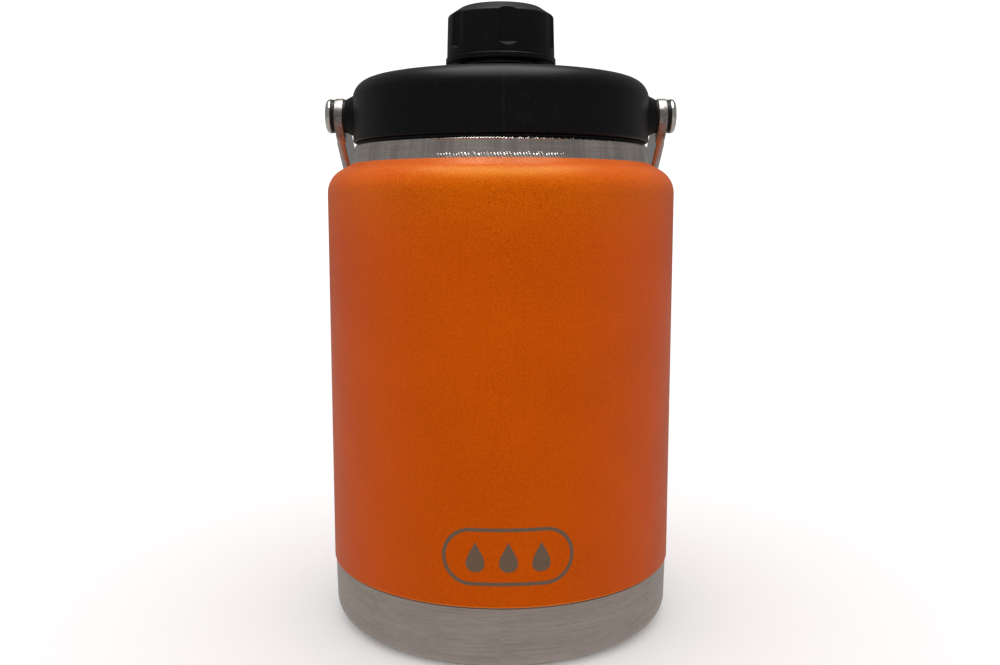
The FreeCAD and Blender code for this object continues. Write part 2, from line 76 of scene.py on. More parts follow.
Colour = tuple[float, float, float]
Triple = tuple[float, float, float]
Limits = tuple[float, float]
Point2 = tuple[float, float]
Rim = tuple[float, float]
Operand = Union["Wire", float]
Place = tuple[Operand, Operand, Operand]
Value = Union["Wire", float, Sequence[float]]


class Axis(Enum):
    """The line that a turned or brushed piece was worked about."""

    ACROSS = "x"
    UPRIGHT = "z"


class Body(Enum):
    """The moving bodies that pieces made here ride on."""

    VESSEL = "vessel"


class Slot(Enum):
    """The material slots of the record."""

    PAINTED_STEEL = "painted_steel"
    BAND_STEEL = "band_steel"
    NECK_STEEL = "neck_steel"
    LINER_STEEL = "liner_steel"
    HANDLE_STEEL = "handle_steel"
    PIN_STEEL = "pin_steel"
    LID_BLACK = "lid_black"
    CAP_BLACK = "cap_black"
    PLUG_GREY = "plug_grey"
    SILICONE = "silicone"
    WASHER_BLACK = "washer_black"
    FOAM = "foam"
    INSERT_BRASS = "insert_brass"
    MAGNET_NICKEL = "magnet_nickel"
    SEAL_GREY = "seal_grey"
    GETTER_GREY = "getter_grey"


# ---- shader graphs ----

class Wire:
    """An output socket of a shader graph that can stand in a sum."""

    def __init__(self, graph: "Graph", socket: bpy.types.NodeSocket) -> None:
        """Keeps the graph that new Math nodes go in, and the socket."""
        self.graph = graph
        self.socket = socket

    def _sum(self, operation: str, first: Operand, second: Operand) -> "Wire":
        """Adds one Math node.

        Args:
            operation: the Math node's operation.
            first: its first value.
            second: its second value.

        Returns:
            The node's result.
        """
        return self.graph.node("ShaderNodeMath", {"operation": operation}, {0: first, 1: second})

    def __add__(self, other: Operand) -> "Wire":
        """Sum."""
        return self._sum("ADD", self, other)

    def __radd__(self, other: Operand) -> "Wire":
        """Sum, with the number first."""
        return self._sum("ADD", other, self)

    def __sub__(self, other: Operand) -> "Wire":
        """Difference."""
        return self._sum("SUBTRACT", self, other)

    def __rsub__(self, other: Operand) -> "Wire":
        """Difference, with the number first."""
        return self._sum("SUBTRACT", other, self)

    def __mul__(self, other: Operand) -> "Wire":
        """Product."""
        return self._sum("MULTIPLY", self, other)

    def __rmul__(self, other: Operand) -> "Wire":
        """Product, with the number first."""
        return self._sum("MULTIPLY", other, self)

    def __truediv__(self, other: Operand) -> "Wire":
        """Quotient."""
        return self._sum("DIVIDE", self, other)

    def __rtruediv__(self, other: Operand) -> "Wire":
        """Quotient, with the number first."""
        return self._sum("DIVIDE", other, self)

    def __pow__(self, other: Operand) -> "Wire":
        """Power."""
        return self._sum("POWER", self, other)

    def __abs__(self) -> "Wire":
        """Size without the sign."""
        return self._sum("ABSOLUTE", self, 0.0)


@dataclass(frozen=True)
class Pattern:
    """Smooth noise: how its features lie along three directions, and how much finer noise is in it."""

    stretch: Triple = (1.0, 1.0, 1.0)
    fixed: Triple = (0.0, 0.0, 0.0)
    scale: float = 1.0
    detail: float = 2.0
    roughness: float = 0.5


class Graph:
    """The node tree of one material, with the finished surface's Principled shader in it."""

    def __init__(self, name: str) -> None:
        """Makes the material.

        Args:
            name: the material's name.
        """
        self.material = bpy.data.materials.new(name)
        self.material.use_nodes = True
        self.tree = self.material.node_tree
        self.shader = self.tree.nodes["Principled BSDF"]

    def node(
        self,
        kind: str,
        settings: dict[str, str],
        inputs: dict[Union[int, str], Value],
        output: Union[int, str] = 0,
    ) -> Wire:
        """Makes one node.

        Args:
            kind: the node's type.
            settings: its properties, set before anything else.
            inputs: a value or a Wire for each socket, by name or number.
            output: which output is wanted.

        Returns:
            That output.
        """
        made = self.tree.nodes.new(kind)
        for key, value in settings.items():
            setattr(made, key, value)
        for key, value in inputs.items():
            self._feed(made.inputs[key], value)
        return Wire(self, made.outputs[output])

    def _feed(self, socket: bpy.types.NodeSocket, value: Value) -> None:
        """Links a Wire to a socket, or sets the socket's own value.

        Args:
            socket: the socket to feed.
            value: the Wire, number, vector or colour.
        """
        if isinstance(value, Wire):
            self.tree.links.new(value.socket, socket)
        elif socket.type == "RGBA" and len(value) == 3:
            socket.default_value = (*value, 1.0)
        else:
            socket.default_value = value

    def surface(self, **inputs: Value) -> None:
        """Feeds the shader.

        Args:
            inputs: the shader's sockets, with _ for the spaces in their names.
        """
        for key, value in inputs.items():
            self._feed(self.shader.inputs[key.replace("_", " ")], value)

    def place(self) -> tuple[Wire, Wire, Wire]:
        """The point on the piece, as x, y and z in millimetres at rest."""
        point = self.node("ShaderNodeTexCoord", {}, {}, "Object")
        split = self.node("ShaderNodeSeparateXYZ", {}, {0: point})
        x, y, z = (Wire(self, output) / MM for output in split.socket.node.outputs)
        return x, y, z

    def vector(self, place: Sequence[Operand]) -> Wire:
        """Joins three values into a vector."""
        return self.node("ShaderNodeCombineXYZ", {}, dict(enumerate(place)))

    def noise(self, place: Place, pattern: Pattern) -> Wire:
        """Smooth noise.

        Args:
            place: where it is read.
            pattern: its features. Along a direction with no stretch it is read at the fixed value.

        Returns:
            The noise's value, from 0 to 1.
        """
        parts: list[Operand] = []
        for at, share, fixed in zip(place, pattern.stretch, pattern.fixed):
            if share == 1.0:
                parts.append(at)
            else:
                parts.append(at * share if share else fixed)
        inputs = {
            "Vector": self.vector(parts), "Scale": pattern.scale,
            "Detail": pattern.detail, "Roughness": pattern.roughness,
        }
        return self.node("ShaderNodeTexNoise", {}, inputs)

    def cells(self, place: Place, size: float) -> Wire:
        """Distance from the middle of a cell.

        Args:
            place: where it is read.
            size: a cell's size in millimetres.

        Returns:
            The distance, as a share of the size.
        """
        inputs = {"Vector": self.vector(place), "Scale": 1 / size}
        return self.node("ShaderNodeTexVoronoi", {}, inputs, "Distance")

    def band(self, value: Wire, low: float, high: float) -> Wire:
        """Rises from 0 to 1 as a value goes from low to high, and falls where high is less than low."""
        if high < low:
            return 1.0 - self.band(value, high, low)
        inputs = {"Value": value, "From Min": low, "From Max": high}
        return self.node("ShaderNodeMapRange", {"interpolation_type": "SMOOTHSTEP"}, inputs)

    def blend(self, share: Operand, first: Union[Wire, Colour], second: Union[Wire, Colour]) -> Wire:
        """Mixes two colours.

        Args:
            share: 0 for the first, 1 for the second.
            first: a colour or a Wire.
            second: a colour or a Wire.

        Returns:
            The mixed colour.
        """
        return self.node("ShaderNodeMix", {"data_type": "RGBA"}, {0: share, 6: first, 7: second}, 2)

    def bump(self, height: Wire) -> Wire:
        """Normal of a surface that is raised by a height in millimetres."""
        return self.node("ShaderNodeBump", {}, {"Height": height * MM, "Distance": 1.0, "Strength": 1.0})

    def round_about(self, axis: Axis) -> tuple[Wire, Wire, Wire]:
        """Angle in radians, distance from an axis and height along it, in millimetres.

        Args:
            axis: the axis. ACROSS is the line through the handle's pivots.

        Returns:
            Angle, distance and height.
        """
        x, y, z = self.place()
        if axis is Axis.ACROSS:
            across, up, along = y, z - PIVOT_HEIGHT, x
        else:
            across, up, along = x, y, z
        angle = self.node("ShaderNodeMath", {"operation": "ARCTAN2"}, {0: across, 1: up})
        return angle, (across * across + up * up) ** 0.5, along


# ---- finishes ----

@dataclass(frozen=True)
class Finish:
    """A finish: how one of the record's slots looks."""

    slot: Slot

    def material(self) -> bpy.types.Material:
        """Builds the finish's material."""
        graph = Graph(self.slot.value + "_finish")
        self.lay(graph)
        return graph.material

    def lay(self, graph: Graph) -> None:
        """Builds the nodes. Each finish has its own.

        Args:
            graph: where they go.
        """
        raise NotImplementedError


@dataclass(frozen=True)
class PowderCoat(Finish):
    """Baked powder: fine dimpled grain, soft sheen, slow clouds; painted top light up the shoulder, a painted
    highlight at its lower edge.
    """

    slot: Slot = Slot.PAINTED_STEEL
    colour: Colour = (0.445, 0.0460, 0.0002)
    deep: Colour = (0.320, 0.0290, 0.0001)
    # pale: the grain's flecks, and the painted highlight along the coat's lower edge
    pale: Colour = (0.600, 0.1500, 0.0100)
    # painted top light: the shoulder is coloured yellower, as where light from above falls on it
    shoulder: Colour = (0.460, 0.0760, 0.0002)
    painted_light_reach: float = 34.0
    sheen: float = 0.34
    sheen_tint: Colour = (0.92, 1.0, 0.06)
    roughness: float = 0.40
    grain: Pattern = Pattern(scale=1 / 0.42, detail=3.0, roughness=0.65)
    grain_height: float = 0.035
    grain_polish: float = 0.12
    clouds: Pattern = Pattern(scale=0.035)
    cloud_height: float = 0.05
    cloud_share: float = 0.15
    tone_limits: Limits = (0.34, 0.62)
    fleck_limits: Limits = (0.66, 0.80)
    fleck_strength: float = 0.35
    handling: Pattern = Pattern(scale=0.11, detail=4.0, roughness=0.6)
    handling_polish: float = 0.16
    # painted highlight: a paler line just above the coat's lower edge, where its rim catches light
    edge_highlight_reach: float = 0.6
    edge_highlight_strength: float = 0.6

    def lay(self, graph: Graph) -> None:
        """Builds the grain, the clouds, the painted top light up the shoulder and the painted highlight along
        the coat's lower edge.

        Args:
            graph: where they go.
        """
        place = graph.place()
        height = place[2]
        speck = graph.noise(place, self.grain)
        cloud = graph.noise(place, self.clouds)
        handled = graph.noise(place, self.handling)
        tone = graph.band(cloud * self.cloud_share + speck * (1 - self.cloud_share), *self.tone_limits)
        # painted top light: blends towards the yellower shoulder colour up to the collar
        raised = graph.band(height, COLLAR_FOOT - self.painted_light_reach, COLLAR_FOOT)
        base = graph.blend(tone, self.deep, graph.blend(raised, self.colour, self.shoulder))
        fleck = graph.band(speck, *self.fleck_limits) * self.fleck_strength
        # painted highlight along the coat's lower edge
        edge = graph.band(height, SEAM_HEIGHT + self.edge_highlight_reach, SEAM_HEIGHT + self.edge_highlight_reach / 3)
        polish = (handled - MIDDLE) * self.handling_polish + (speck - MIDDLE) * self.grain_polish
        graph.surface(
            Base_Color=graph.blend(fleck + edge * self.edge_highlight_strength, base, self.pale),
            Roughness=self.roughness + polish,
            Normal=graph.bump(speck * self.grain_height + cloud * self.cloud_height),
            Specular_IOR_Level=self.sheen,
            Specular_Tint=self.sheen_tint,
        )


@dataclass(frozen=True)
class BrushedSteel(Finish):
    """Steel brushed round the upright axis, with handling smudges."""

    light: Colour = (0.660, 0.580, 0.535)
    dark: Colour = (0.440, 0.378, 0.345)
    roughness: float = 0.34
    lines: Pattern = Pattern(stretch=(2.2, 3.0, 1.0), detail=3.0, roughness=0.7)
    line_pitch: float = 0.22
    line_height: float = 0.010
    line_polish: float = 0.10
    dashes: Pattern = Pattern(stretch=(16.0, 1.4, 2.2), roughness=0.6)
    dash_height: float = 0.006
    smudges: Pattern = Pattern(stretch=(3.0, 0.05, 0.12), detail=4.0, roughness=0.6)
    smudge_polish: float = 0.20
    shares: Triple = (0.55, 0.25, 0.20)
    tone_limits: Limits = (0.33, 0.67)

    def lay(self, graph: Graph) -> None:
        """Builds the brush lines, the dashes and the smudges.

        Args:
            graph: where they go.
        """
        angle, distance, height = graph.round_about(Axis.UPRIGHT)
        line = graph.noise((angle, distance, height / self.line_pitch), self.lines)
        dash = graph.noise((angle, distance, height), self.dashes)
        smudge = graph.noise((angle, distance, height), self.smudges)
        line_share, dash_share, smudge_share = self.shares
        tone = graph.band(line * line_share + dash * dash_share + smudge * smudge_share, *self.tone_limits)
        relief = line * self.line_height + dash * self.dash_height
        polish = (smudge - MIDDLE) * self.smudge_polish + (line - MIDDLE) * self.line_polish
        colour, relief = self.mark(
            graph, (angle, distance, height), graph.blend(tone, self.dark, self.light), relief)
        graph.surface(
            Base_Color=colour, Metallic=1.0, Roughness=self.roughness + polish, Normal=graph.bump(relief))

    def mark(
        self, graph: Graph, place: tuple[Wire, Wire, Wire], colour: Wire, relief: Wire,
    ) -> tuple[Wire, Wire]:
        """Adds what one piece's steel has and the others don't.

        Args:
            graph: where the nodes go.
            place: angle, distance from the axis and height.
            colour: the brushed colour.
            relief: the brushing's height.

        Returns:
            The marked colour and height.
        """
        return colour, relief


@dataclass(frozen=True)
class BandSteel(BrushedSteel):
    """The base's steel, with small scratches that thin out upwards."""

    slot: Slot = Slot.BAND_STEEL
    nicks: Pattern = Pattern(stretch=(9.0, 0.5, 0.0), fixed=(0.0, 0.0, 5.0), detail=5.0, roughness=0.75)
    nick_limits: Limits = (0.60, 0.68)
    nick_strength: float = 0.55
    nick_shade: float = 0.55
    nick_depth: float = 0.02
    most_below: float = 3.0
    none_above: float = 12.0

    def mark(
        self, graph: Graph, place: tuple[Wire, Wire, Wire], colour: Wire, relief: Wire,
    ) -> tuple[Wire, Wire]:
        """Adds the scratches.

        Args:
            graph: where the nodes go.
            place: angle, distance from the axis and height.
            colour: the brushed colour.
            relief: the brushing's height.

        Returns:
            The marked colour and height.
        """
        angle, distance, height = place
        nick = graph.noise((angle, height, distance), self.nicks)
        near = graph.band(height, self.none_above, self.most_below)
        cut = graph.band(nick, *self.nick_limits) * near
        shade = tuple(part * self.nick_shade for part in self.dark)
        return graph.blend(cut * self.nick_strength, colour, shade), relief - cut * self.nick_depth


@dataclass(frozen=True)
class CollarSteel(BrushedSteel):
    """The neck's brighter steel, with painted reflections in upright columns and short slanted painted glints
    at its foot and lip.
    """

    slot: Slot = Slot.NECK_STEEL
    light: Colour = (0.86, 0.79, 0.75)
    dark: Colour = (0.56, 0.50, 0.46)
    roughness: float = 0.24
    smudge_polish: float = 0.12
    # painted reflections: darker upright columns between lighter ones
    wide: Pattern = Pattern(stretch=(4.2, 0.0, 0.0), fixed=(0.0, 3.0, 1.0), detail=1.0)
    narrow: Pattern = Pattern(stretch=(34.0, 0.0, 0.02), fixed=(0.0, 7.0, 0.0), detail=3.0, roughness=0.7)
    wide_share: float = 0.55
    reflection_column_limits: Limits = (0.36, 0.64)
    reflection_shade: float = 0.55
    reflection_strength: float = 0.6
    uneven: Pattern = Pattern(stretch=(26.0, 0.0, 0.0), fixed=(0.0, 4.0, 2.0), detail=3.0, roughness=0.6)
    # painted highlights: bright slanted glints at the foot and lip, on the front arc only
    painted_glint_colour: Colour = (0.95, 0.93, 0.92)
    glints_a_radian: float = 330.0
    glint_slant: float = 2.4
    glint_jitter: float = 9.0
    glint_limits: Limits = (-0.1, 0.6)
    glint_tilt: float = 0.45
    front: Limits = (math.radians(153), math.radians(166))
    foot_glints: Limits = (2.9, 2.0)
    foot_jitter: float = 2.4
    lip_glints: Limits = (1.7, 1.2)
    lip_jitter: float = 1.2

    def mark(
        self, graph: Graph, place: tuple[Wire, Wire, Wire], colour: Wire, relief: Wire,
    ) -> tuple[Wire, Wire]:
        """Adds the painted reflection columns and the painted glints.

        Args:
            graph: where the nodes go.
            place: angle, distance from the axis and height.
            colour: the brushed colour.
            relief: the brushing's height.

        Returns:
            The marked colour and height.
        """
        angle, _, height = place
        broad = graph.noise(place, self.wide)
        fine = graph.noise(place, self.narrow)
        # painted reflections in upright columns
        column = graph.band(broad * self.wide_share + fine * (1 - self.wide_share), *self.reflection_column_limits)
        shade = tuple(part * self.reflection_shade for part in self.dark)
        colour = graph.blend(column, graph.blend(self.reflection_strength, colour, shade), colour)
        # painted glints at the foot and the lip, tilted to catch the light from above
        jitter = graph.noise(place, self.uneven)
        turns = angle * self.glints_a_radian - height * self.glint_slant + jitter * self.glint_jitter
        wave = graph.node("ShaderNodeMath", {"operation": "SINE"}, {0: turns})
        foot_from, foot_full = (COLLAR_FOOT + rise for rise in self.foot_glints)
        lip_from, lip_full = (LIP_HEIGHT - drop for drop in self.lip_glints)
        low = graph.band(height + jitter * self.foot_jitter, foot_from, foot_full)
        high = graph.band(height - jitter * self.lip_jitter, lip_from, lip_full)
        # cut here is the painted glint mask, limited to the front arc
        cut = (low + high) * graph.band(wave, *self.glint_limits) * graph.band(abs(angle), *self.front)
        relief = relief + self.glint_tilt * cut * (height - COLLAR_FOOT)
        return graph.blend(cut, colour, self.painted_glint_colour), relief


@dataclass(frozen=True)
class StrapSteel(Finish):
    """Flat bar brushed along its length, with eyes that are worn and mottled."""

    slot: Slot = Slot.HANDLE_STEEL
    light: Colour = (0.60, 0.59, 0.58)
    dark: Colour = (0.42, 0.41, 0.40)
    worn: Colour = (0.20, 0.18, 0.165)
    roughness: float = 0.18
    lines: Pattern = Pattern(stretch=(0.0, 0.05, 3.5), detail=3.0, roughness=0.7)
    line_share: float = 0.7
    line_height: float = 0.10
    tone_limits: Limits = (0.34, 0.66)
    clouds: Pattern = Pattern(scale=0.09, detail=4.0, roughness=0.6)
    cloud_polish: float = 0.15
    eye_reach: float = 9.5
    eye_full: float = 0.6
    eye_wear: float = 0.55
    eye_dulling: float = 0.14
    mottling: Pattern = Pattern(stretch=(0.7, 1.0, 1.0), scale=0.55, detail=4.0, roughness=0.7)
    mottle_height: float = 0.16
    stain_limits: Limits = (0.50, 0.64)
    stain_wear: float = 0.40
    stain_dulling: float = 0.12

    def lay(self, graph: Graph) -> None:
        """Builds the brushing, which runs along the arms, and the wear of the eyes.

        Args:
            graph: where they go.
        """
        x, y, z = place = graph.place()
        level, drop = math.cos(DROOP), -math.sin(DROOP)
        along = y * level + (z - PIVOT_HEIGHT) * drop
        across = y * drop - (z - PIVOT_HEIGHT) * level
        line = graph.noise((x, along, across), self.lines)
        cloud = graph.noise(place, self.clouds)
        tone = graph.band(line * self.line_share + cloud * (1 - self.line_share), *self.tone_limits)
        brushed = graph.blend(tone, self.dark, self.light)
        reach = self.eye_reach ** 2
        eye = graph.band(along * along + across * across, reach, reach * self.eye_full)
        mottle = graph.noise(place, self.mottling)
        stain = graph.band(mottle, *self.stain_limits) * eye
        dulling = (cloud - MIDDLE) * self.cloud_polish + eye * self.eye_dulling + stain * self.stain_dulling
        graph.surface(
            Base_Color=graph.blend(eye * self.eye_wear + stain * self.stain_wear, brushed, self.worn),
            Metallic=1.0,
            Roughness=self.roughness + dulling,
            Normal=graph.bump(line * self.line_height * (1.0 - eye) + mottle * eye * self.mottle_height),
        )


@dataclass(frozen=True)
class TurnedMetal(Finish):
    """Metal off a lathe: faint rings about the piece's axis, and a few darker spots."""

    axis: Axis = Axis.ACROSS
    light: Colour = (0.80, 0.78, 0.75)
    dark: Colour = (0.62, 0.60, 0.57)
    roughness: float = 0.10
    rings: Pattern = Pattern(stretch=(0.6, 6.0, 6.0), detail=3.0, roughness=0.7)
    ring_height: float = 0.004
    ring_polish: float = 0.05
    spots: Pattern = Pattern(stretch=(2.0, 0.5, 0.5), detail=4.0, roughness=0.6)
    spot_level: float = 0.45
    spot_polish: float = 0.14
    tone_limits: Limits = (0.36, 0.60)

    def lay(self, graph: Graph) -> None:
        """Builds the rings, the spots and the polish that varies a little.

        Args:
            graph: where they go.
        """
        place = graph.round_about(self.axis)
        ring = graph.noise(place, self.rings)
        spot = graph.noise(place, self.spots)
        tone = graph.band((ring + spot) / 2, *self.tone_limits)
        polish = (spot - self.spot_level) * self.spot_polish + (ring - MIDDLE) * self.ring_polish
        graph.surface(
            Base_Color=graph.blend(tone, self.dark, self.light),
            Metallic=1.0,
            Roughness=self.roughness + polish,
            Normal=graph.bump(ring * self.ring_height),
        )


@dataclass(frozen=True)
class MouldedPlastic(Finish):
    """Satin moulding with a fine spark-eroded grain, dust in its clouds and, on the lid, a parting line."""

    colour: Colour = (0.0018, 0.0018, 0.0021)
    dusty: Colour = (0.0130, 0.0134, 0.0155)
    roughness: float = 0.38
    specular: float = 0.14
    grain: Pattern = Pattern(scale=1 / 0.40, roughness=0.6)
    grain_height: float = 0.030
    grain_polish: float = 0.08
    grain_dust: float = 0.7
    grain_dust_limits: Limits = (0.56, 0.74)
    clouds: Pattern = Pattern(scale=0.07, detail=4.0, roughness=0.6)
    cloud_polish: float = 0.14
    cloud_dust: float = 0.2
    cloud_dust_limits: Limits = (0.54, 0.82)
    parting_line: bool = False
    line_limits: Limits = (0.30, 0.05)
    line_front: Limits = (0.0, -5.0)
    line_height: float = 0.03
    line_lightening: float = 0.35

    def lay(self, graph: Graph) -> None:
        """Builds the grain, the dust and the parting line.

        Args:
            graph: where they go.
        """
        x, y, _ = place = graph.place()
        speck = graph.noise(place, self.grain)
        cloud = graph.noise(place, self.clouds)
        dust = graph.band(speck, *self.grain_dust_limits) * self.grain_dust
        dust = dust + graph.band(cloud, *self.cloud_dust_limits) * self.cloud_dust
        relief = speck * self.grain_height
        if self.parting_line:
            line = graph.band(abs(x - PARTING_X), *self.line_limits) * graph.band(y, *self.line_front)
            relief = relief + line * self.line_height
            # the parting line is coloured lighter too, on the front half only, through the dust mask
            dust = dust + line * self.line_lightening
        polish = (cloud - MIDDLE) * self.cloud_polish + (speck - MIDDLE) * self.grain_polish
        graph.surface(
            Base_Color=graph.blend(dust, self.colour, self.dusty),
            Roughness=self.roughness + polish,
            Normal=graph.bump(relief),
            Specular_IOR_Level=self.specular,
        )


@dataclass(frozen=True)
class SoftRubber(Finish):
    """Satin silicone with a faint bloom."""

    slot: Slot = Slot.SILICONE
    colour: Colour = (0.004, 0.004, 0.004)
    bloom: Colour = (0.014, 0.014, 0.015)
    roughness: float = 0.52
    specular: float = 0.2
    clouds: Pattern = Pattern(scale=0.25, detail=4.0, roughness=0.6)
    cloud_polish: float = 0.2
    bloom_limits: Limits = (0.45, 0.80)
    bloom_strength: float = 0.6
    skin: Pattern = Pattern(scale=3.0)
    skin_height: float = 0.02

    def lay(self, graph: Graph) -> None:
        """Builds the bloom and a soft, slightly uneven skin.

        Args:
            graph: where they go.
        """
        place = graph.place()
        cloud = graph.noise(place, self.clouds)
        bloom = graph.band(cloud, *self.bloom_limits) * self.bloom_strength
        graph.surface(
            Base_Color=graph.blend(bloom, self.colour, self.bloom),
            Roughness=self.roughness + (cloud - MIDDLE) * self.cloud_polish,
            Normal=graph.bump(graph.noise(place, self.skin) * self.skin_height),
            Specular_IOR_Level=self.specular,
        )


@dataclass(frozen=True)
class ClosedFoam(Finish):
    """Closed-cell foam with visible cells."""

    slot: Slot = Slot.FOAM
    colour: Colour = (0.80, 0.77, 0.68)
    wall: Colour = (0.58, 0.54, 0.44)
    roughness: float = 0.85
    cell: float = 1 / 1.1
    cell_depth: float = 0.25
    wall_limits: Limits = (0.35, 0.75)
    wall_strength: float = 0.7
    clouds: Pattern = Pattern(scale=0.2, detail=3.0)
    cloud_strength: float = 0.2
    cloud_polish: float = 0.1

    def lay(self, graph: Graph) -> None:
        """Builds the cells and their walls.

        Args:
            graph: where they go.
        """
        place = graph.place()
        cell = graph.cells(place, self.cell)
        cloud = graph.noise(place, self.clouds)
        wall = graph.band(cell, *self.wall_limits) * self.wall_strength + cloud * self.cloud_strength
        graph.surface(
            Base_Color=graph.blend(wall, self.colour, self.wall),
            Roughness=self.roughness + (cloud - MIDDLE) * self.cloud_polish,
            Normal=graph.bump(cell * -self.cell_depth),
        )


@dataclass(frozen=True)
class MattMetal(Finish):
    """Sintered or cast metal: dull, with a coarse crystal."""

    light: Colour = (0.44, 0.43, 0.42)
    dark: Colour = (0.28, 0.27, 0.26)
    metallic: float = 0.9
    roughness: float = 0.55
    crystal: float = 0.5
    crystal_share: float = 0.6
    crystal_height: float = 0.04
    clouds: Pattern = Pattern(scale=0.5, detail=4.0, roughness=0.7)
    cloud_polish: float = 0.2

    def lay(self, graph: Graph) -> None:
        """Builds the crystal and the dullness that varies with it.

        Args:
            graph: where they go.
        """
        place = graph.place()
        crystal = graph.cells(place, self.crystal)
        cloud = graph.noise(place, self.clouds)
        tone = crystal * self.crystal_share + cloud * (1 - self.crystal_share)
        graph.surface(
            Base_Color=graph.blend(tone, self.dark, self.light),
            Metallic=self.metallic,
            Roughness=self.roughness + (cloud - MIDDLE) * self.cloud_polish,
            Normal=graph.bump(crystal * self.crystal_height),
        )


@dataclass(frozen=True)
class EtchedSteel(Finish):
    """Steel laid bare by a laser: dull brown-grey with the beam's fine level passes."""

    slot: Slot = Slot.BAND_STEEL
    light: Colour = (0.145, 0.088, 0.052)
    dark: Colour = (0.098, 0.058, 0.033)
    metallic: float = 0.25
    roughness: float = 0.55
    passes: Pattern = Pattern(stretch=(0.3, 0.3, 7.0))
    pass_height: float = 0.01
    patches: Pattern = Pattern(scale=0.9, detail=3.0)
    patch_polish: float = 0.15

    def lay(self, graph: Graph) -> None:
        """Builds the passes and a little unevenness.

        Args:
            graph: where they go.
        """
        place = graph.place()
        beam = graph.noise(place, self.passes)
        patch = graph.noise(place, self.patches)
        graph.surface(
            Base_Color=graph.blend((beam + patch) / 2, self.dark, self.light),
            Metallic=self.metallic,
            Roughness=self.roughness + (patch - MIDDLE) * self.patch_polish,
            Normal=graph.bump(beam * self.pass_height),
        )


NICKEL = TurnedMetal(
    Slot.MAGNET_NICKEL, axis=Axis.UPRIGHT, light=(0.70, 0.68, 0.64), dark=(0.56, 0.54, 0.50), roughness=0.2)


# ---- sub-assemblies ----

class Assembly:
    """A sub-assembly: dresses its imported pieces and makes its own."""

    def finishes(self) -> dict[str, Finish]:
        """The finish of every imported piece, by node."""
        raise NotImplementedError

    def pieces(self) -> list[tuple[bpy.types.Object, Finish]]:
        """Makes the pieces that aren't packed, each with its finish."""
        return []

    def build(self, rack: dict[Finish, bpy.types.Material]) -> None:
        """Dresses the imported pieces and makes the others.

        Args:
            rack: the materials made so far, by finish.
        """
        for node, finish in self.finishes().items():
            packed = frame["nodes"][node]
            dress(packed, finish, rack)
            packed.data.set_sharp_from_angle(angle=SHARP_ANGLE)
            LOG.info("%s: %s on %s", type(self).__name__, finish.slot.value, node)
        for piece, finish in self.pieces():
            dress(piece, finish, rack)
            LOG.info("%s: made %s", type(self).__name__, piece.name)


def dress(piece: bpy.types.Object, finish: Finish, rack: dict[Finish, bpy.types.Material]) -> None:
    """Gives a piece its finish.

    Args:
        piece: the object.
        finish: the finish.
        rack: the materials made so far, which this one joins.
    """
    if finish not in rack:
        rack[finish] = finish.material()
    piece.data.materials.clear()
    piece.data.materials.append(rack[finish])


@dataclass
class Vessel(Assembly):
    """The double-walled vessel, from the foot to the lip."""

    paint: Finish = PowderCoat()
    band: Finish = BandSteel()
    collar: Finish = CollarSteel()
    liner: Finish = BrushedSteel(
        Slot.LINER_STEEL, light=(0.66, 0.65, 0.64), dark=(0.50, 0.49, 0.48), roughness=0.36)
    seal: Finish = MattMetal(Slot.SEAL_GREY)
    pill: Finish = MattMetal(Slot.GETTER_GREY, light=(0.36, 0.35, 0.34), dark=(0.20, 0.19, 0.18), crystal=0.3)

    def finishes(self) -> dict[str, Finish]:
        """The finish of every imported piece, by node."""
        return {
            "outer_wall": self.paint,
            "base_cup": self.band,
            "base_plate": self.band,
            "seal_plug": self.seal,
            "getter": self.pill,
            "inner_liner": self.liner,
            "neck_collar": self.collar,
        }


@dataclass
class Lid(Assembly):
    """The screw lid, with its spout, gasket and the dock for the cap."""

    shell: Finish = MouldedPlastic(Slot.LID_BLACK, parting_line=True)
    inside: Finish = MouldedPlastic(
        Slot.PLUG_GREY, colour=(0.040, 0.040, 0.043), dusty=(0.065, 0.064, 0.064), roughness=0.46)
    seal: Finish = SoftRubber()
    filling: Finish = ClosedFoam()
    magnet: Finish = NICKEL

    def finishes(self) -> dict[str, Finish]:
        """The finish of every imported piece, by node."""
        return {
            "lid_gasket": self.seal,
            "lid_shell": self.shell,
            "lid_plug": self.inside,
            "lid_foam": self.filling,
            "spout": self.inside,
            "spout_seal": self.seal,
            "dock_pad": self.shell,
            "dock_magnet": self.magnet,
        }


@dataclass
class HandleAndPivots(Assembly):
    """The bail handle, and on each side its pin, washers and insert."""

    strap: Finish = StrapSteel()
    pin: Finish = TurnedMetal(Slot.PIN_STEEL)
    insert: Finish = TurnedMetal(
        Slot.INSERT_BRASS, light=(0.66, 0.48, 0.20), dark=(0.50, 0.34, 0.13), roughness=0.24)
    washer: Finish = MouldedPlastic(
        Slot.WASHER_BLACK, colour=(0.006, 0.006, 0.006), dusty=(0.016, 0.016, 0.016), roughness=0.36)
    sides: tuple[str, str] = ("left", "right")

    def finishes(self) -> dict[str, Finish]:
        """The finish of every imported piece, by node."""
        found: dict[str, Finish] = {"handle": self.strap}
        for side in self.sides:
            found["pivot_pin_" + side] = self.pin
            found["pivot_insert_" + side] = self.insert
            found["inner_washer_" + side] = self.washer
            found["outer_washer_" + side] = self.washer
        return found


@dataclass
class Cap(Assembly):
    """The small fluted screw cap over the spout."""

    grip: Finish = MouldedPlastic(Slot.CAP_BLACK, roughness=0.43)
    seal: Finish = SoftRubber()
    magnet: Finish = NICKEL

    def finishes(self) -> dict[str, Finish]:
        """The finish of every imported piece, by node."""
        return {
            "cap_shell": self.grip,
            "cap_liner": self.grip,
            "cap_gasket": self.seal,
            "cap_magnet": self.magnet,
        }


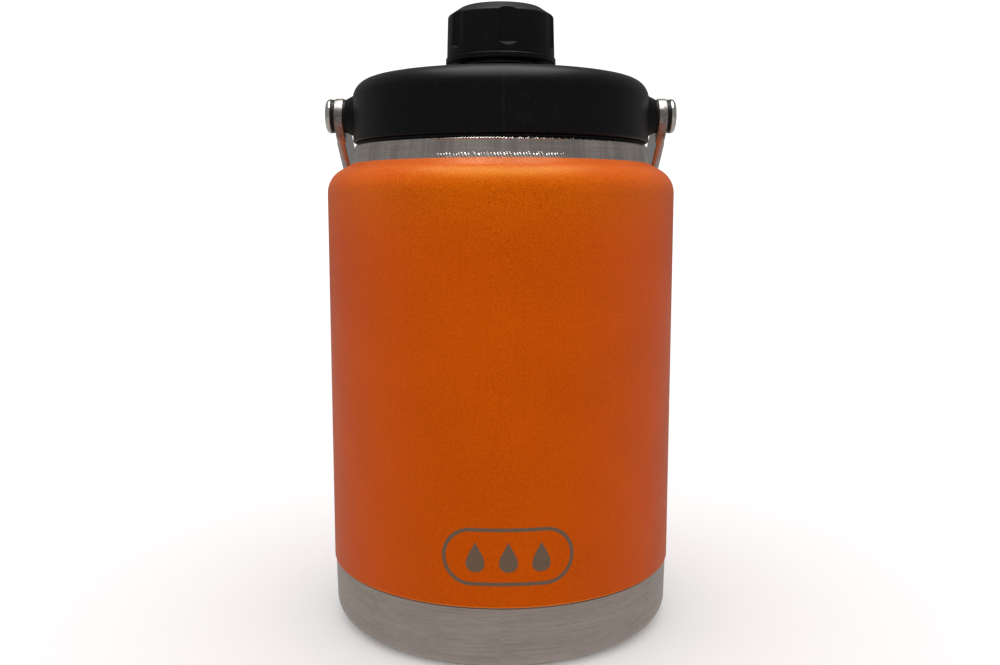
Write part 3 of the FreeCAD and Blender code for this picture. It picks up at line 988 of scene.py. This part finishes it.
@dataclass
class Emblem(Assembly):
    """A plain etched emblem low on the front: three drops in a rounded frame."""

    metal: Finish = EtchedSteel()
    wall_radius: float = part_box("outer_wall")[1][0]
    proud: float = 0.04 * MM
    sunk: float = 0.30 * MM
    centre: Point2 = (2.6 * MM, 42.0 * MM)
    width: float = 46.6 * MM
    height: float = 20.5 * MM
    line: float = 1.25 * MM
    drop_half_height: float = 5.4 * MM
    drop_spread: float = 4.7 * MM
    drop_places: tuple[Point2, ...] = ((-11.5 * MM, 0.0), (0.0, 0.0), (11.5 * MM, 0.0))
    drop_sharpness: float = 1.6
    steps: int = 160
    drop_rings: int = 5

    def finishes(self) -> dict[str, Finish]:
        """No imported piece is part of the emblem."""
        return {}

    def frame_outline(self, inset: float) -> list[Point2]:
        """A stadium's outline.

        Args:
            inset: how far inside the frame's outer edge it runs.

        Returns:
            Its points, anticlockwise.
        """
        end = self.height / 2 - inset
        straight = self.width / 2 - self.height / 2
        quarter = self.steps // 4
        points = []
        for side in (1, -1):
            for step in range(quarter + 1):
                turn = -math.pi / 2 + math.pi * step / quarter
                points.append((side * (straight + end * math.cos(turn)), side * end * math.sin(turn)))
            for step in range(1, quarter):
                share = 1 - 2 * step / quarter
                points.append((side * straight * share, side * end))
        return points

    def drop_outline(self, share: float) -> list[Point2]:
        """A drop's outline: round below and drawn out to a point above.

        Args:
            share: its size, 1 for the full drop.

        Returns:
            Its points, anticlockwise from the point at the top.
        """
        count = self.steps // 2
        points = []
        for step in range(count):
            turn = 2 * math.pi * step / count
            across = math.sin(turn) * math.sin(turn / 2) ** self.drop_sharpness
            points.append((
                -share * self.drop_spread * across,
                share * self.drop_half_height * math.cos(turn),
            ))
        return points

    def on_wall(self, point: Point2, radius: float) -> Triple:
        """Wraps a point of the flat drawing round the vessel.

        Args:
            point: distance to the right of the emblem's centre and above it.
            radius: how far from the vessel's axis it lies.

        Returns:
            The point in space.
        """
        turn = (self.centre[0] + point[0]) / self.wall_radius
        return radius * math.sin(turn), -radius * math.cos(turn), self.centre[1] + point[1]

    def plate(self, name: str, loops: Sequence[Sequence[Point2]], filled: bool) -> bpy.types.Object:
        """Builds a thin closed solid between nested outlines.

        Args:
            name: the piece's name.
            loops: the outlines from the outer one inwards, each with as many points as the others.
            filled: whether the innermost outline is closed by a fan, or is the edge of a hole.

        Returns:
            The piece.
        """
        mesh = bmesh.new()
        layers = []
        for radius in (self.wall_radius + self.proud, self.wall_radius - self.sunk):
            layers.append([[mesh.verts.new(self.on_wall(p, radius)) for p in loop] for loop in loops])
        front, back = layers
        count = len(loops[0])
        for i in range(count):
            after = (i + 1) % count
            for outer, inner in zip(front, front[1:]):
                mesh.faces.new((outer[i], outer[after], inner[after], inner[i]))
            for outer, inner in zip(back, back[1:]):
                mesh.faces.new((outer[after], outer[i], inner[i], inner[after]))
            mesh.faces.new((front[0][after], front[0][i], back[0][i], back[0][after]))
            if not filled:
                mesh.faces.new((front[-1][i], front[-1][after], back[-1][after], back[-1][i]))
        if filled:
            for layer in layers:
                mesh.faces.new(layer[-1])
        bmesh.ops.recalc_face_normals(mesh, faces=mesh.faces)
        data = bpy.data.meshes.new(name)
        mesh.to_mesh(data)
        mesh.free()
        piece = bpy.data.objects.new(name, data)
        bpy.context.scene.collection.objects.link(piece)
        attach(piece, Body.VESSEL.value)
        return piece

    def pieces(self) -> list[tuple[bpy.types.Object, Finish]]:
        """Makes the frame and the drops."""
        border = [self.frame_outline(0), self.frame_outline(self.line)]
        plates = [self.plate("emblem_frame", border, False)]
        shares = [1 - ring / (self.drop_rings + 1) for ring in range(self.drop_rings + 1)]
        for number, (right, up) in enumerate(self.drop_places, start=1):
            loops = [[(right + a, up + b) for a, b in self.drop_outline(share)] for share in shares]
            plates.append(self.plate(f"emblem_drop_{number}", loops, True))
        return [(plate, self.metal) for plate in plates]


# ---- studio ----

@dataclass
class Studio:
    """Pale floor, white surroundings, a soft light overhead, and the camera.

    A dark ring and a grey card are there for reflections alone.
    """

    floor_half: float = 4.0
    floor_colour: Colour = (0.97, 0.97, 0.97)
    floor_dimming: float = 0.985
    floor_clouds: Pattern = Pattern(scale=0.004)
    floor_roughness: float = 0.7
    floor_specular: float = 0.2
    sky_strength: float = 1.15
    top_light_size: float = 0.9
    top_light_place: Triple = (0.0, -0.15, 1.1)
    top_light_power: float = 14.0
    top_light_colour: Colour = (1.0, 0.98, 0.95)
    ring_radius: float = 1.3
    ring_low: float = 0.02
    ring_high: float = 2.6
    ring_colour: Colour = (0.25, 0.245, 0.24)
    card_radius: float = 0.0615
    card_height: float = 0.0003
    card_colour: Colour = (0.42, 0.405, 0.39)
    screen_columns: int = 96
    lens: float = 35.1
    sensor: float = 36.0
    camera_place: Triple = (-0.0003, -0.390, 0.1593)
    camera_dip: float = math.radians(6.99)

    def build(self) -> None:
        """Sets up the studio."""
        self.floor()
        self.sky()
        self.top_light()
        self.dark_ring()
        self.grey_card()
        self.camera()
        bpy.context.scene.view_settings.view_transform = "Standard"

    def stage_piece(
        self, name: str, corners: Iterable[Sequence[float]], faces: list[tuple[int, ...]],
    ) -> bpy.types.Object:
        """Makes a piece of the stage.

        Args:
            name: its name.
            corners: its vertices.
            faces: its faces, as vertex numbers.

        Returns:
            The object.
        """
        data = bpy.data.meshes.new(name)
        data.from_pydata(list(corners), [], faces)
        piece = bpy.data.objects.new(name, data)
        bpy.context.scene.collection.objects.link(piece)
        return piece

    def floor(self) -> None:
        """Pale floor with the faintest unevenness."""
        half = self.floor_half
        corners = [(-half, -half, 0), (half, -half, 0), (half, half, 0), (-half, half, 0)]
        floor = self.stage_piece("studio_floor", corners, [(0, 1, 2, 3)])
        graph = Graph("studio_floor")
        cloud = graph.noise(graph.place(), self.floor_clouds)
        dim = tuple(part * self.floor_dimming for part in self.floor_colour)
        graph.surface(
            Base_Color=graph.blend(cloud, dim, self.floor_colour),
            Roughness=self.floor_roughness,
            Specular_IOR_Level=self.floor_specular,
        )
        floor.data.materials.append(graph.material)

    def sky(self) -> None:
        """White surroundings."""
        world = bpy.data.worlds.new("studio")
        world.use_nodes = True
        background = world.node_tree.nodes["Background"]
        background.inputs["Color"].default_value = (1.0, 1.0, 1.0, 1.0)
        background.inputs["Strength"].default_value = self.sky_strength
        bpy.context.scene.world = world

    def top_light(self) -> None:
        """Soft light overhead, a little to the front."""
        light = bpy.data.lights.new("top_light", "AREA")
        light.size = self.top_light_size
        light.energy = self.top_light_power
        light.color = self.top_light_colour
        lamp = bpy.data.objects.new("top_light", light)
        lamp.location = self.top_light_place
        lamp.visible_camera = False
        bpy.context.scene.collection.objects.link(lamp)
        lit = bpy.data.collections.new("under_top_light")
        for piece in bpy.data.objects:
            if piece.type == "MESH" and not piece.name.startswith("studio"):
                lit.objects.link(piece)
        lamp.light_linking.receiver_collection = lit

    def screen(self, name: str, low: Rim, high: Rim, colour: Colour) -> None:
        """Makes a glowing screen between two level circles, which only reflections see.

        Args:
            name: its name.
            low: radius and height of its lower or inner rim.
            high: radius and height of its upper or outer rim.
            colour: its light.
        """
        corners, faces = [], []
        for column in range(self.screen_columns):
            turn = 2 * math.pi * column / self.screen_columns
            corners += [(r * math.sin(turn), -r * math.cos(turn), z) for r, z in (low, high)]
            first, after = 2 * column, 2 * ((column + 1) % self.screen_columns)
            faces.append((first, first + 1, after + 1, after))
        screen = self.stage_piece(name, corners, faces)
        graph = Graph(name)
        graph.surface(
            Base_Color=(0.0, 0.0, 0.0), Specular_IOR_Level=0.0, Emission_Color=colour, Emission_Strength=1.0)
        screen.data.materials.append(graph.material)
        screen.visible_camera = False
        screen.visible_diffuse = False
        screen.visible_shadow = False
        screen.visible_transmission = False

    def dark_ring(self) -> None:
        """Dark surroundings for the reflections."""
        low, high = (self.ring_radius, self.ring_low), (self.ring_radius, self.ring_high)
        self.screen("studio_ring", low, high, self.ring_colour)

    def grey_card(self) -> None:
        """Grey ground for the reflections, which starts a little way out from the jug."""
        inner, outer = (self.card_radius, self.card_height), (self.ring_radius, self.ring_low)
        self.screen("studio_card", inner, outer, self.card_colour)

    def camera(self) -> None:
        """The camera, a little above the middle of the jug and dipped towards it."""
        view = bpy.data.cameras.new("camera")
        view.lens = self.lens
        view.sensor_width = self.sensor
        camera = bpy.data.objects.new("camera", view)
        camera.location = self.camera_place
        camera.rotation_euler = (math.pi / 2 - self.camera_dip, 0.0, 0.0)
        bpy.context.scene.collection.objects.link(camera)
        bpy.context.scene.camera = camera


def main() -> None:
    logging.basicConfig(level=logging.INFO, format="%(name)s %(message)s")
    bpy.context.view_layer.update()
    rack: dict[Finish, bpy.types.Material] = {}
    assemblies: list[Assembly] = [Vessel(), Lid(), HandleAndPivots(), Cap(), Emblem()]
    for assembly in assemblies:
        assembly.build(rack)
    Studio().build()


if __name__ == "__main__":
    main()
